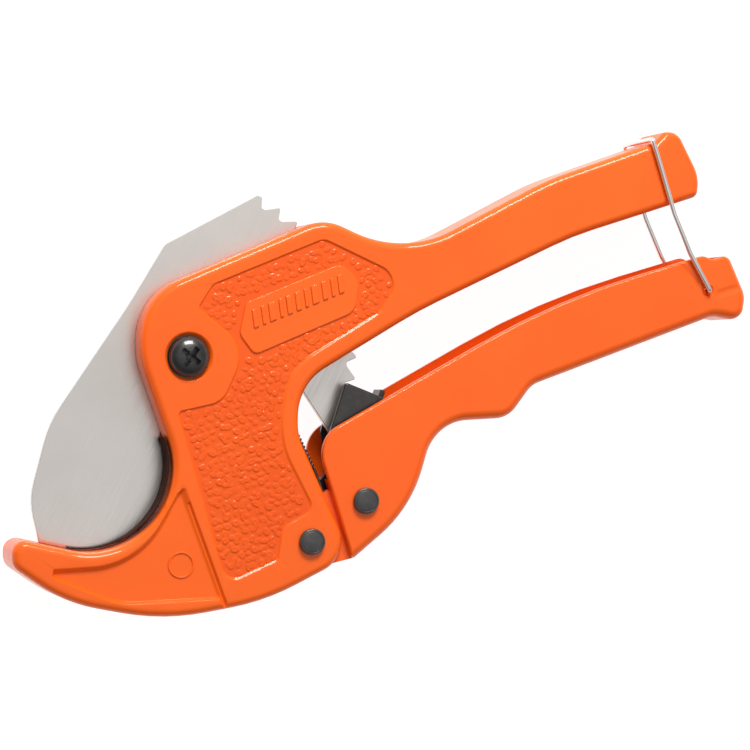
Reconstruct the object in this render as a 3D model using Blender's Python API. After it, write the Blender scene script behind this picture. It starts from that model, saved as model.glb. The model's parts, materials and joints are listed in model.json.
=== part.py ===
"""Ratchet cutter for plastic pipe up to 42 mm, closed and latched, lying on its rear side.

X runs along the tool towards the handle ends, Y across it towards the upper handle, and Z through
its thickness, out of the front face.  Outlines are drawn in millimetres in the tool's own plane,
with the blade's pivot at (0, 0).  Depths are measured from the blade's mid-plane.
"""

import bpy
from math import acos, atan2, ceil, cos, degrees, hypot, pi, radians, sin, tan
from mathutils import Vector

MM = 0.001

# ---- Driving dimensions, in millimetres -------------------------------------------------------

TOOL_ORIGIN = (-53.33, 2.68)    # where the blade's pivot lies, seen from the middle of the whole tool
MID = 10.7                      # height of the blade's mid-plane over the surface the tool lies on

BODY_HALF = 9.0                 # half the thickness of the cast frame
FRAME_RIM = 2.0                 # rounding of the frame's outer edges
WALL = 2.5                      # the frame's side walls where it is hollow
GAP = 0.3                       # running clearance between touching pieces

BLADE_HALF = 1.0
SLOT_HALF = BLADE_HALF + GAP
TOOTH_TIP_RADIUS = 45.4
TOOTH_ROOT_RADIUS = 43.0
TOOTH_PITCH = 7.0               # degrees
FIRST_TOOTH = -28.25            # degrees, the lowest tooth's tip with the blade closed
TOOTH_COUNT = 14
MOUTH_RADIUS = 20.8             # half of a 42 mm pipe
MOUTH_CENTRE = (-25.8, -26.8)
MOUTH_HALF_TURN = 61.45         # degrees, half the turn of the mouth's round surface
EDGE_OVERLAP = 3.0              # how far the closed blade passes the mouth's surface

HANDLE_HALF = 8.8
HANDLE_WALL = 1.8
CHEEK_HALF = BODY_HALF - WALL - GAP
CHEEK_WALL = 1.8

HANDLE_PIVOT = (31.5, -46.5)
FEED_PIVOT = (45.7, -36.4)
BAIL_PIVOT = (139.5, 17.5)
BLADE_PIVOT = (0.0, 0.0)

RIVET_HEAD = 3.3                # radii of both pivot rivets
RIVET_SHANK = 2.4
RIVET_HEAD_HEIGHT = 1.2

WIRE_RADIUS = 0.65              # the latch wire
PANEL_DEPTH = 0.5               # how far the textured panel is sunk
HOOK_POCKET_DEPTH = 1.2
ARC_STEP = 9.0                  # degrees of turn per straight piece of a rounded outline

# Outlines are corners (x, y, rounding radius), counter-clockwise.
HANDLE_GROOVE = [(34.6, -26.2, 6.0), (42.6, -51.5, 0.8)]
MOUTH_CORNER = (7.9, -56.5, MOUTH_RADIUS)

FRAME_OUTLINE = [
    (-44.0, -44.32, 3.2),       # tip of the hook
    (-43.9, -51.5, 3.8),
    (-31.0, -60.6, 40.0),       # belly
    (-6.0, -65.6, 60.0),
    (20.0, -61.3, 60.0),
    (42.3, -50.3, 8.2),         # lug around the handle's pivot
    (28.3, -19.7, 14.0),        # inner edge, facing the lower handle
    (28.6, -6.9, 14.0),
    (60.0, 11.6, 120.0),        # underside of the upper handle
    (102.0, 31.3, 90.0),
    (136.8, 42.3, 2.2),         # its end
    (137.4, 47.6, 8.0),
    (131.2, 59.3, 2.2),         # lip that holds the latch wire
    (127.4, 59.0, 1.4),
    (124.6, 56.2, 1.4),
    (95.0, 45.8, 70.0),         # back of the upper handle
    (56.4, 25.8, 30.0),
    (35.2, 35.1, 12.0),         # head
    (-10.0, 15.8, 16.0),
    (-12.9, 1.5, 22.0),
    MOUTH_CORNER,
]

PANEL_OUTLINE = [               # textured panel on the head
    (23.0, -51.5, 1.5),
    (24.2, -43.0, 4.0),
    (32.8, -38.6, 3.0),
    (23.4, -20.5, 22.0),
    (26.5, -3.4, 14.0),
    (50.0, 10.8, 6.0),
    (55.6, 20.6, 5.5),
    (34.8, 30.0, 4.0),
    (6.0, 18.2, 3.0),
    (2.0, 12.0, 1.2),
    (14.3, 2.0, 8.0),
    (8.5, -11.0, 6.0),
    (-3.2, -13.6, 1.5),
    (9.5, -57.5, 4.0),
]

PLAQUE_OUTLINE = [
    (12.8, 5.6, 3.0),
    (16.8, 0.4, 2.0),
    (43.0, 11.4, 4.0),
    (44.0, 19.6, 4.0),
    (39.2, 23.6, 3.0),
    (14.6, 13.6, 2.0),
]

HOOK_POCKET = [                 # sunk triangle on the hook
    (-0.8, -31.8, 1.0),
    (-3.6, -34.4, 2.0),
    (-13.5, -51.0, 20.0),
    (-34.2, -52.0, 0.8),
    (-34.2, -54.4, 0.8),
    (-17.5, -61.6, 24.0),
    (9.8, -60.6, 1.0),
]

HANDLE_PALM = [                 # closed side of the lower handle, from the groove to the far end
    (58.3, -38.7, 34.0),
    (65.0, -16.6, 12.0),
    (84.6, -15.6, 7.0),
    (91.0, -7.2, 7.0),
    (141.5, 10.9, 6.0),
    (149.8, 9.6, 3.5),
    (150.8, 16.5, 6.0),
    (145.9, 27.3, 1.2),
]

HANDLE_RIM = [                  # open side of the lower handle, back to the groove
    (140.9, 25.7, 3.0),
    (138.3, 26.8, 3.0),
    (97.5, 14.9, 220.0),
    (34.4, -19.8, 8.0),
]

BLADE_SPINE = [
    (-4.2, 28.2, 3.0),
    (-13.6, 12.8, 80.0),
    (-33.6, -16.5, 30.0),
    (-38.6, -35.5, 18.0),
    (-35.2, -49.6, 1.0),        # toe
]

BLADE_HEEL = [
    (-3.5, -16.0, 3.0),
    (14.0, -10.5, 12.0),
    (29.5, -5.9, 2.5),
]

HOLD_PAWL_ARM = [
    (40.0, -33.5, 3.0),
    (45.2, -22.4, 1.5),
    (42.2, -19.0, 0.6),
    (38.8, -27.8, 8.0),
]

FEED_PAWL_WALL = [
    (53.0, -10.9, 0.8),
    (41.5, -6.4, 0.8),
    (37.4, -19.0, 2.0),
]


# ---- Outlines ---------------------------------------------------------------------------------

def intersection(point_a, direction_a, point_b, direction_b):
    """Where two lines in the plane meet."""
    cross = direction_a[0] * direction_b[1] - direction_a[1] * direction_b[0]
    dx = point_b[0] - point_a[0]
    dy = point_b[1] - point_a[1]
    along = (dx * direction_b[1] - dy * direction_b[0]) / cross
    return (point_a[0] + along * direction_a[0], point_a[1] + along * direction_a[1])


def moved_inward(corners, inset):
    """The same polygon with every edge moved inward; its round corners stay concentric."""
    result = []
    count = len(corners)
    for i, (x, y, radius) in enumerate(corners):
        before = corners[i - 1]
        after = corners[(i + 1) % count]
        length_in = hypot(x - before[0], y - before[1])
        length_out = hypot(after[0] - x, after[1] - y)
        way_in = ((x - before[0]) / length_in, (y - before[1]) / length_in)
        way_out = ((after[0] - x) / length_out, (after[1] - y) / length_out)
        start = (x - inset * way_in[1], y + inset * way_in[0])
        end = (x - inset * way_out[1], y + inset * way_out[0])
        turn = way_in[0] * way_out[1] - way_in[1] * way_out[0]
        if abs(turn) < 1e-6:
            corner = start
        else:
            corner = intersection(start, way_in, end, way_out)
        if radius > 0:
            radius = max(radius - inset if turn > 0 else radius + inset, 0.05)
        result.append((corner[0], corner[1], radius))
    return result


def outline(corners, inset=0.0):
    """Points of a closed outline with rounded corners, optionally moved inward."""
    points = []
    count = len(corners)
    sharp = moved_inward(corners, inset) if inset else corners
    for i, (x, y, radius) in enumerate(sharp):
        if radius == 0:
            points.append((x, y))
            continue
        before = sharp[i - 1]
        after = sharp[(i + 1) % count]
        heading_in = atan2(y - before[1], x - before[0])
        heading_out = atan2(after[1] - y, after[0] - x)
        turn = (heading_out - heading_in + pi) % (2 * pi) - pi
        side = 1 if turn > 0 else -1
        reach = radius * tan(abs(turn) / 2)
        start = (x - reach * cos(heading_in), y - reach * sin(heading_in))
        centre = (start[0] - side * radius * sin(heading_in), start[1] + side * radius * cos(heading_in))
        steps = max(2, ceil(abs(degrees(turn)) / ARC_STEP))
        for k in range(steps + 1):
            angle = heading_in + turn * k / steps - side * pi / 2
            points.append((centre[0] + radius * cos(angle), centre[1] + radius * sin(angle)))
    return points


def circle(centre, radius, sides=40):
    """Points of a circle, counter-clockwise."""
    angles = [2 * pi * k / sides for k in range(sides)]
    return [(centre[0] + radius * cos(a), centre[1] + radius * sin(a)) for a in angles]


def lug(centre, radius, corners):
    """A round hub joined by tangents to the first and last of some corners beyond it."""
    first = corners[0]
    last = corners[-1]
    ends = []
    for x, y, side in ((last[0], last[1], 1), (first[0], first[1], -1)):
        distance = hypot(x - centre[0], y - centre[1])
        ends.append(atan2(y - centre[1], x - centre[0]) + side * acos(radius / distance))
    sweep = (ends[1] - ends[0]) % (2 * pi)
    steps = ceil(degrees(sweep) / ARC_STEP)
    hub = []
    for k in range(steps + 1):
        angle = ends[0] + sweep * k / steps
        hub.append((centre[0] + radius * cos(angle), centre[1] + radius * sin(angle), 0.0))
    return outline(list(corners) + hub)


# ---- Bodies and pieces --------------------------------------------------------------------------

def axis_empty(name, place, parent):
    """An empty that stands on a joint's axis; place is in the tool's plane."""
    empty = bpy.data.objects.new(name, None)
    empty["place"] = place
    if parent is None:
        empty.location = (TOOL_ORIGIN[0] * MM, TOOL_ORIGIN[1] * MM, MID * MM)
    else:
        empty.parent = parent
        here = parent["place"]
        empty.location = ((place[0] - here[0]) * MM, (place[1] - here[1]) * MM, 0)
    bpy.context.collection.objects.link(empty)
    return empty


def finish_piece(name, mesh, body, material):
    """Puts a mesh drawn in tool millimetres under the empty of its body."""
    place = body["place"]
    for vertex in mesh.vertices:
        vertex.co = ((vertex.co.x - place[0]) * MM, (vertex.co.y - place[1]) * MM, vertex.co.z * MM)
    piece = bpy.data.objects.new(name, mesh)
    piece.parent = body
    mesh.materials.append(material)
    bpy.context.collection.objects.link(piece)
    return piece


def stacked(name, layers):
    """A closed mesh through equal rings of points: layers is [(points, depth), ...]."""
    count = len(layers[0][0])
    vertices = [(x, y, depth) for points, depth in layers for x, y in points]
    faces = [list(range(count))[::-1]]
    for level in range(len(layers) - 1):
        low = level * count
        high = low + count
        for i in range(count):
            j = (i + 1) % count
            faces.append([low + i, low + j, high + j, high + i])
    top = (len(layers) - 1) * count
    faces.append([top + i for i in range(count)])
    mesh = bpy.data.meshes.new(name)
    mesh.from_pydata(vertices, [], faces)
    return mesh


def slab(name, points, low, high):
    """A straight-sided plate between two depths."""
    return stacked(name, [(points, low), (points, high)])


def rounded_slab(name, corners, half, rim, steps):
    """A plate whose outer edges are rounded on both faces."""
    layers = []
    for k in range(steps + 1):
        angle = radians(90 * (1 - k / steps))
        layers.append((outline(corners, rim * (1 - cos(angle))), -half + rim * (1 - sin(angle))))
    for k in range(steps + 1):
        angle = radians(90 * k / steps)
        layers.append((outline(corners, rim * (1 - cos(angle))), half - rim * (1 - sin(angle))))
    return stacked(name, layers)


def turned(name, centre, profile, sides=32):
    """A turned solid from a (radius, depth) profile that starts and ends on the axis."""
    mesh = bpy.data.meshes.new(name)
    vertices = []
    rings = []
    for radius, depth in profile:
        if radius == 0:
            rings.append([len(vertices)])
            vertices.append((centre[0], centre[1], depth))
        else:
            rings.append([len(vertices) + k for k in range(sides)])
            vertices += [(x, y, depth) for x, y in circle(centre, radius, sides)]
    faces = []
    for lower, upper in zip(rings, rings[1:]):
        for k in range(sides):
            face = [lower[k % len(lower)], lower[(k + 1) % len(lower)],
                    upper[(k + 1) % len(upper)], upper[k % len(upper)]]
            faces.append(list(dict.fromkeys(face)))
    mesh.from_pydata(vertices, [], faces)
    return mesh


def ring(name, centre, inner, outer, low, high, sides=32):
    """A flat washer or a tube."""
    mesh = bpy.data.meshes.new(name)
    vertices = []
    for radius, depth in ((outer, low), (outer, high), (inner, high), (inner, low)):
        vertices += [(x, y, depth) for x, y in circle(centre, radius, sides)]
    faces = []
    for level in range(4):
        here = level * sides
        there = (level + 1) % 4 * sides
        for k in range(sides):
            j = (k + 1) % sides
            faces.append([here + k, here + j, there + j, there + k])
    mesh.from_pydata(vertices, [], faces)
    return mesh


def combine(piece, tool_mesh, operation, body):
    """Adds or removes a shape with an exact Boolean; the shape stays as a hidden guide."""
    guide = finish_piece(tool_mesh.name, tool_mesh, body, GUIDE)
    guide.hide_render = True
    guide.display_type = 'WIRE'
    modifier = piece.modifiers.new(tool_mesh.name, 'BOOLEAN')
    modifier.operation = operation
    modifier.object = guide
    modifier.solver = 'EXACT'


def wire(name, path, radius, body, material, resolution=2):
    """Bent round wire through points (x, y, depth) in tool millimetres."""
    curve = bpy.data.curves.new(name, 'CURVE')
    curve.dimensions = '3D'
    curve.bevel_depth = radius * MM
    curve.bevel_resolution = resolution
    curve.use_fill_caps = True
    spline = curve.splines.new('POLY')
    spline.points.add(len(path) - 1)
    place = body["place"]
    for point, (x, y, depth) in zip(spline.points, path):
        point.co = ((x - place[0]) * MM, (y - place[1]) * MM, depth * MM, 1)
    curve.materials.append(material)
    piece = bpy.data.objects.new(name, curve)
    piece.parent = body
    bpy.context.collection.objects.link(piece)
    return piece


def flat_coil(centre, radius, low, high, start, turns, leg_in, leg_out):
    """Torsion spring: a helix around Z with a straight leg at each end."""
    steps = ceil(turns * 14)
    path = []
    for k in range(steps + 1):
        angle = radians(start) + 2 * pi * turns * k / steps
        depth = low + (high - low) * k / steps
        path.append((centre[0] + radius * cos(angle), centre[1] + radius * sin(angle), depth))
    return [(leg_in[0], leg_in[1], low)] + path + [(leg_out[0], leg_out[1], high)]


def smooth(piece, angle=30):
    """Smooth shading with sharp creases kept."""
    piece.data.shade_smooth()
    piece.data.set_sharp_from_angle(angle=radians(angle))


# ---- Materials ------------------------------------------------------------------------------------

def principled(name, colour, roughness, metallic, coat=0.0):
    """A Principled material in one colour."""
    material = bpy.data.materials.new(name)
    material.use_nodes = True
    shader = material.node_tree.nodes["Principled BSDF"]
    shader.inputs["Base Color"].default_value = (*colour, 1)
    shader.inputs["Roughness"].default_value = roughness
    shader.inputs["Metallic"].default_value = metallic
    shader.inputs["Coat Weight"].default_value = coat
    return material


for old in list(bpy.data.objects):
    bpy.data.objects.remove(old)

GUIDE = principled("guide", (0.2, 0.2, 0.2), 1.0, 0.0)
FRAME_ENAMEL = principled("frame_enamel", (0.95, 0.16, 0.03), 0.32, 0.0, 0.4)
HANDLE_ENAMEL = principled("handle_enamel", (0.95, 0.13, 0.02), 0.30, 0.0, 0.4)
BLADE_STEEL = principled("blade_steel", (0.56, 0.53, 0.50), 0.34, 1.0)
BLACK_OXIDE = principled("black_oxide", (0.035, 0.035, 0.038), 0.42, 0.7)
PAWL_STEEL = principled("pawl_steel", (0.045, 0.045, 0.048), 0.5, 0.5)
SPRING_STEEL = principled("spring_steel", (0.30, 0.29, 0.28), 0.3, 1.0)
BRIGHT_WIRE = principled("bright_wire", (0.72, 0.71, 0.69), 0.2, 1.0)
ZINC = principled("zinc_plate", (0.62, 0.62, 0.60), 0.35, 1.0)

# ---- Bodies -----------------------------------------------------------------------------------------

frame_body = axis_empty("frame_body", BLADE_PIVOT, None)
blade_body = axis_empty("blade_body", BLADE_PIVOT, frame_body)
handle_body = axis_empty("handle_body", HANDLE_PIVOT, frame_body)
hold_body = axis_empty("hold_pawl_body", HANDLE_PIVOT, frame_body)
feed_body = axis_empty("feed_pawl_body", FEED_PIVOT, handle_body)
bail_body = axis_empty("bail_body", BAIL_PIVOT, handle_body)


# ---- Frame ------------------------------------------------------------------------------------------

POCKET_HALF = BODY_HALF - WALL
PIVOT_BORE = 4.3
HEAD_RECESS_RADIUS = 6.1
HEAD_RECESS_FLOOR = BODY_HALF - 2.1
SPRING_POCKET_RADIUS = 8.5
SPRING_POCKET_TOP = SLOT_HALF + 4.0
RIVET_BORE = RIVET_SHANK + GAP


def mouth_offset(distance):
    """The mouth's corner with its round surface moved outward, into the casting."""
    reach = distance / cos(radians(MOUTH_HALF_TURN))
    away = Vector((MOUTH_CORNER[0] - MOUTH_CENTRE[0], MOUTH_CORNER[1] - MOUTH_CENTRE[1])).normalized()
    return (MOUTH_CORNER[0] + reach * away.x, MOUTH_CORNER[1] + reach * away.y, MOUTH_RADIUS + distance)


def make_frame():
    """Die-cast head and upper handle in one piece, slotted for the blade and hollow behind it."""
    frame = finish_piece("frame", rounded_slab("frame", FRAME_OUTLINE, BODY_HALF, FRAME_RIM, 2),
                         frame_body, FRAME_ENAMEL)
    sector = circle(BLADE_PIVOT, TOOTH_TIP_RADIUS + 1.6, 72)
    hook_slot = outline([(-43.0, -42.3, 0), (-36.6, -51.0, 1.5), mouth_offset(EDGE_OVERLAP + 1.2),
                         (0.0, -5.0, 0), (-20.0, 10.0, 0)])
    pocket = outline([(20.0, -8.0, 3), (20.0, -50.0, 6), (26.8, -54.6, 2), (26.8, -64.0, 0),
                      (62.0, -64.0, 0), (62.0, -30.0, 0), (34.0, -8.0, 0)])
    channel = outline([(61.5, 10.0, 0), (62.0, -5.0, 0), (150.0, 30.0, 0), (134.0, 36.0, 0),
                       (134.2, 46.6, 3), (129.5, 54.6, 3), (96.5, 42.9, 60), (64.5, 26.4, 4)])
    combine(frame, slab("cut_sector_slot", sector, -SLOT_HALF, SLOT_HALF), 'DIFFERENCE', frame_body)
    combine(frame, slab("cut_hook_slot", hook_slot, -SLOT_HALF - 0.01, SLOT_HALF + 0.01),
            'DIFFERENCE', frame_body)
    combine(frame, slab("cut_pawl_pocket", pocket, -POCKET_HALF, POCKET_HALF), 'DIFFERENCE', frame_body)
    combine(frame, slab("cut_grip_channel", channel, -POCKET_HALF, POCKET_HALF), 'DIFFERENCE', frame_body)
    combine(frame, slab("cut_pivot_bore", circle(BLADE_PIVOT, PIVOT_BORE), -10, 10), 'DIFFERENCE', frame_body)
    combine(frame, slab("cut_head_recess", circle(BLADE_PIVOT, HEAD_RECESS_RADIUS), HEAD_RECESS_FLOOR, 10),
            'DIFFERENCE', frame_body)
    combine(frame, slab("cut_spring_pocket", circle(BLADE_PIVOT, SPRING_POCKET_RADIUS), 0, SPRING_POCKET_TOP),
            'DIFFERENCE', frame_body)
    combine(frame, slab("cut_rivet_bore", circle(HANDLE_PIVOT, RIVET_BORE, 24), -10, 10),
            'DIFFERENCE', frame_body)
    panel = slab("panel", outline(PANEL_OUTLINE), BODY_HALF - PANEL_DEPTH, BODY_HALF + 1)
    combine(frame, panel, 'DIFFERENCE', frame_body)
    plaque = slab("plaque", outline(PLAQUE_OUTLINE), BODY_HALF - 1.0, BODY_HALF)
    combine(frame, plaque, 'UNION', frame_body)
    hook_pocket = slab("hook_pocket", outline(HOOK_POCKET), BODY_HALF - HOOK_POCKET_DEPTH, BODY_HALF + 1)
    combine(frame, hook_pocket, 'DIFFERENCE', frame_body)
    smooth(frame)


# ---- Blade and its pivot ------------------------------------------------------------------------------

def tooth_corners():
    """Ratchet teeth up the round sector: a long flank above each tip, a steep face below it."""
    corners = []
    for k in range(TOOTH_COUNT):
        tip = FIRST_TOOTH + TOOTH_PITCH * k
        stations = [(tip, TOOTH_TIP_RADIUS), (tip + 0.5, TOOTH_TIP_RADIUS),
                    (tip + 4.5, TOOTH_ROOT_RADIUS), (tip + 5.3, TOOTH_ROOT_RADIUS)]
        if k == TOOTH_COUNT - 1:
            stations = [(tip, TOOTH_TIP_RADIUS), (tip + 1.6, TOOTH_TIP_RADIUS)]
        for angle, radius in stations:
            corners.append((radius * cos(radians(angle)), radius * sin(radians(angle)), 0.0))
    return corners


def make_blade():
    """Curved blade with a toothed sector behind the pivot."""
    corners = tooth_corners() + BLADE_SPINE + [mouth_offset(EDGE_OVERLAP)] + BLADE_HEEL
    blade = finish_piece("blade", slab("blade", outline(corners), -BLADE_HALF, BLADE_HALF),
                         blade_body, BLADE_STEEL)
    combine(blade, slab("cut_blade_bore", circle(BLADE_PIVOT, PIVOT_BORE), -5, 5), 'DIFFERENCE', blade_body)


WASHER_THICKNESS = 0.8
DRIVE_WING = [(-2.9, -0.65), (2.9, -0.65), (2.9, 0.65), (-2.9, 0.65)]


def make_blade_pivot():
    """Screw, washer and barrel nut through the head, and the blade's return spring."""
    rear = -BODY_HALF - GAP
    nut = turned("pivot_barrel_nut", BLADE_PIVOT, [
        (0, -MID), (5.1, -MID), (5.5, -MID + 0.4), (5.5, rear), (4.0, rear), (4.0, HEAD_RECESS_FLOOR),
        (2.7, HEAD_RECESS_FLOOR), (2.7, -4.0), (0, -4.0)])
    smooth(finish_piece("pivot_barrel_nut", nut, frame_body, ZINC))
    washer_top = HEAD_RECESS_FLOOR + GAP + WASHER_THICKNESS
    washer = ring("pivot_washer", BLADE_PIVOT, 2.8, 5.6, HEAD_RECESS_FLOOR + GAP, washer_top)
    smooth(finish_piece("pivot_washer", washer, frame_body, BLACK_OXIDE))
    base = washer_top + GAP
    screw = turned("pivot_screw", BLADE_PIVOT, [
        (0, -3.0), (2.4, -3.0), (2.4, base), (5.3, base), (5.4, base + 0.2), (5.4, base + 1.3),
        (4.9, base + 2.4), (3.6, base + 3.1), (1.9, base + 3.4), (0, base + 3.45)])
    screw_piece = finish_piece("pivot_screw", screw, frame_body, BLACK_OXIDE)
    for index, turn in enumerate((55, 145)):
        a = radians(turn)
        points = [(x * cos(a) - y * sin(a), x * sin(a) + y * cos(a)) for x, y in DRIVE_WING]
        depth = base + 1.5 + 0.01 * index
        combine(screw_piece, slab(f"cut_drive_{index}", points, depth, base + 5), 'DIFFERENCE', frame_body)
    smooth(screw_piece)
    coil = flat_coil(BLADE_PIVOT, 6.8, SLOT_HALF + 0.9, SPRING_POCKET_TOP - 0.9, 200, 1.8,
                     (-4.9, -5.3), (-5.4, 4.6))
    wire("blade_spring", coil, 0.5, frame_body, SPRING_STEEL)


# ---- Lower handle ----------------------------------------------------------------------------------------

def make_lower_handle():
    """Channel-shaped handle with two narrow cheeks that pivot between the frame's walls."""
    corners = [HANDLE_GROOVE[1]] + HANDLE_PALM + HANDLE_RIM + [HANDLE_GROOVE[0]]
    handle = finish_piece("lower_handle", rounded_slab("lower_handle", corners, HANDLE_HALF, 0.8, 1),
                          handle_body, HANDLE_ENAMEL)
    tongue = lug(HANDLE_PIVOT, 7.0, [(43.0, -51.0, 0), (50.0, -40.0, 0), (36.4, -33.6, 0)])
    combine(handle, slab("add_cheeks", tongue, -CHEEK_HALF, CHEEK_HALF), 'UNION', handle_body)
    inner = moved_inward(corners, HANDLE_WALL)
    palm = inner[:len(HANDLE_PALM)]
    channel = palm + [(143.6, 24.5, 0), (143.6, 45.0, 0), (25.0, 5.0, 0), (25.0, -31.0, 0), (38.4, -31.0, 0)]
    half = HANDLE_HALF - HANDLE_WALL
    combine(handle, slab("cut_handle_channel", outline(channel), -half, half), 'DIFFERENCE', handle_body)
    between = outline([(20.0, -60.0, 0), (38.2, -60.0, 0), (45.6, -47.5, 0), (50.0, -40.0, 0),
                       (44.0, -28.0, 0), (20.0, -28.0, 0)])
    half = CHEEK_HALF - CHEEK_WALL
    combine(handle, slab("cut_between_cheeks", between, -half, half), 'DIFFERENCE', handle_body)
    for name, place, radius in (("cut_handle_pivot_bore", HANDLE_PIVOT, RIVET_BORE),
                                ("cut_feed_pivot_bore", FEED_PIVOT, RIVET_BORE),
                                ("cut_bail_bore", BAIL_PIVOT, 1.0)):
        combine(handle, slab(name, circle(place, radius, 24), -12, 12), 'DIFFERENCE', handle_body)
    smooth(handle)


def make_rivet(name, centre, half, body):
    """Solid rivet with a low round head at the front and an equal closing head at the rear."""
    under = half + GAP
    crown = under + RIVET_HEAD_HEIGHT
    head = [(RIVET_HEAD, under), (RIVET_HEAD, crown - 0.4), (RIVET_HEAD - 0.5, crown)]
    front = [(RIVET_SHANK, under)] + head + [(0, crown)]
    rear = [(radius, -depth) for radius, depth in reversed(front)]
    smooth(finish_piece(name, turned(name, centre, rear + front, 28), body, BLACK_OXIDE))


def make_handle_pivot():
    """Rivet, bush and spring on the handle's axis."""
    make_rivet("handle_pivot_rivet", HANDLE_PIVOT, BODY_HALF, frame_body)
    length = CHEEK_HALF - CHEEK_WALL - GAP
    bush = ring("handle_pivot_bush", HANDLE_PIVOT, RIVET_BORE, 3.9, -length, length, 28)
    smooth(finish_piece("handle_pivot_bush", bush, frame_body, ZINC))
    coil = flat_coil(HANDLE_PIVOT, 5.2, -length + 0.5, -2.0, -80, 1.75, (42.6, -46.8), (21.2, -40.5))
    wire("handle_spring", coil, 0.4, frame_body, SPRING_STEEL)


# ---- Pawls --------------------------------------------------------------------------------------------------

HOLD_HALF = 1.2
FEED_HALF = 5.4
FEED_SHEET = 1.4
SPRING_DEPTH = 3.4              # of the extension spring's axis, in front of the blade
COIL_LENGTH = 13.6
COIL_TURNS = 10
COIL_RADIUS = 1.35
POST = (25.3, -14.1)
HOLD_PIN = (35.3, -34.7)


def make_hold_pawl():
    """Pawl that keeps the blade from springing back, on the handle pivot's bush."""
    shape = lug(HANDLE_PIVOT, 6.3, HOLD_PAWL_ARM)
    pawl = finish_piece("hold_pawl", slab("hold_pawl", shape, -HOLD_HALF, HOLD_HALF), hold_body, PAWL_STEEL)
    combine(pawl, slab("cut_hold_bore", circle(HANDLE_PIVOT, 4.2, 28), -5, 5), 'DIFFERENCE', hold_body)
    length = CHEEK_HALF - CHEEK_WALL - GAP
    spacer = ring("hold_pawl_spacer", HANDLE_PIVOT, 4.2, 5.4, HOLD_HALF + GAP, length, 28)
    smooth(finish_piece("hold_pawl_spacer", spacer, frame_body, ZINC))
    pin = turned("hold_spring_pin", HOLD_PIN, [
        (0, HOLD_HALF + GAP), (0.8, HOLD_HALF + GAP), (0.8, SPRING_DEPTH + 0.8), (0, SPRING_DEPTH + 0.8)], 16)
    smooth(finish_piece("hold_spring_pin", pin, hold_body, PAWL_STEEL))


def make_hold_spring():
    """Extension spring from a post in the frame to the holding pawl."""
    post = turned("spring_post", POST, [
        (0, SLOT_HALF + 0.4), (1.2, SLOT_HALF + 0.4), (1.2, POCKET_HALF - GAP), (0, POCKET_HALF - GAP)], 16)
    smooth(finish_piece("spring_post", post, frame_body, PAWL_STEEL))
    way = Vector((HOLD_PIN[0] - POST[0], HOLD_PIN[1] - POST[1])).normalized()
    side = Vector((-way.y, way.x))
    start = Vector(POST) + 2.9 * way
    steps = COIL_TURNS * 10
    path = [(*(start - 1.2 * way - 0.3 * side), SPRING_DEPTH)]
    for k in range(steps + 1):
        angle = 2 * pi * COIL_TURNS * k / steps
        centre = start + way * COIL_LENGTH * k / steps
        point = centre + side * COIL_RADIUS * cos(angle)
        path.append((point.x, point.y, SPRING_DEPTH + COIL_RADIUS * sin(angle)))
    end = start + way * (COIL_LENGTH + 1.6)
    path.append((end.x, end.y, SPRING_DEPTH))
    wire("hold_pawl_spring", path, 0.35, frame_body, SPRING_STEEL, 1)


def make_feed_pawl():
    """Folded sheet pawl in the lower handle; its walls stand either side of the toothed sector."""
    walls = lug(FEED_PIVOT, 5.2, FEED_PAWL_WALL)
    pawl = finish_piece("feed_pawl", slab("feed_pawl", walls, -FEED_HALF, FEED_HALF), feed_body, PAWL_STEEL)
    half = FEED_HALF - FEED_SHEET
    inside = outline([(30.0, -3.0, 0), (30.0, -45.0, 0), (60.0, -45.0, 0), (60.0, -15.3, 0),
                      (46.2, -9.8, 0), (46.2, -3.0, 0)])
    combine(pawl, slab("cut_feed_inside", inside, -half, half), 'DIFFERENCE', feed_body)
    tab = outline([(50.6, -10.4, 0), (51.9, -10.9, 0), (52.7, -8.7, 0.3), (51.4, -8.2, 0.3)])
    combine(pawl, slab("add_tab", tab, -3.0, 3.0), 'UNION', feed_body)
    combine(pawl, slab("cut_feed_bore", circle(FEED_PIVOT, RIVET_BORE, 24), -8, 8), 'DIFFERENCE', feed_body)
    make_rivet("feed_pawl_rivet", FEED_PIVOT, HANDLE_HALF, handle_body)
    inner_face = HANDLE_HALF - HANDLE_WALL - GAP
    for name, low, high in (("feed_pawl_washer_front", FEED_HALF + GAP, inner_face),
                            ("feed_pawl_washer_rear", -inner_face, -FEED_HALF - GAP)):
        smooth(finish_piece(name, ring(name, FEED_PIVOT, RIVET_BORE, 4.6, low, high, 24), handle_body, ZINC))
    coil = flat_coil(FEED_PIVOT, 3.5, -3.2, 3.2, 60, 5.6, (50.0, -18.5), (51.4, -40.6))
    wire("feed_pawl_spring", coil, 0.4, feed_body, SPRING_STEEL)


# ---- Latch wire -----------------------------------------------------------------------------------------------

BAIL_END = 5.4                  # depth of the wire's two ends, inside the handle


def make_bail():
    """Wire bail hinged in the lower handle's end; its bar lies behind the lip of the upper handle."""
    leg = BODY_HALF + 0.4 + WIRE_RADIUS
    bar = (123.3, 56.8)
    under_bar = (bar[0] + 0.15, bar[1] - 0.8)
    over_pivot = (BAIL_PIVOT[0] - 0.35, BAIL_PIVOT[1] + 0.6)
    side = [over_pivot, (134.0, 27.0), (129.4, 37.4), (126.0, 48.4), under_bar]
    front = [(*BAIL_PIVOT, BAIL_END), (*BAIL_PIVOT, leg - 0.5)]
    front += [(x, y, leg) for x, y in side]
    front += [(*bar, leg - 0.8)]
    rear = [(x, y, -depth) for x, y, depth in reversed(front)]
    wire("bail", front + rear, WIRE_RADIUS, bail_body, BRIGHT_WIRE)


make_frame()
make_blade()
make_blade_pivot()
make_lower_handle()
make_handle_pivot()
make_hold_pawl()
make_hold_spring()
make_feed_pawl()
make_bail()
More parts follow.
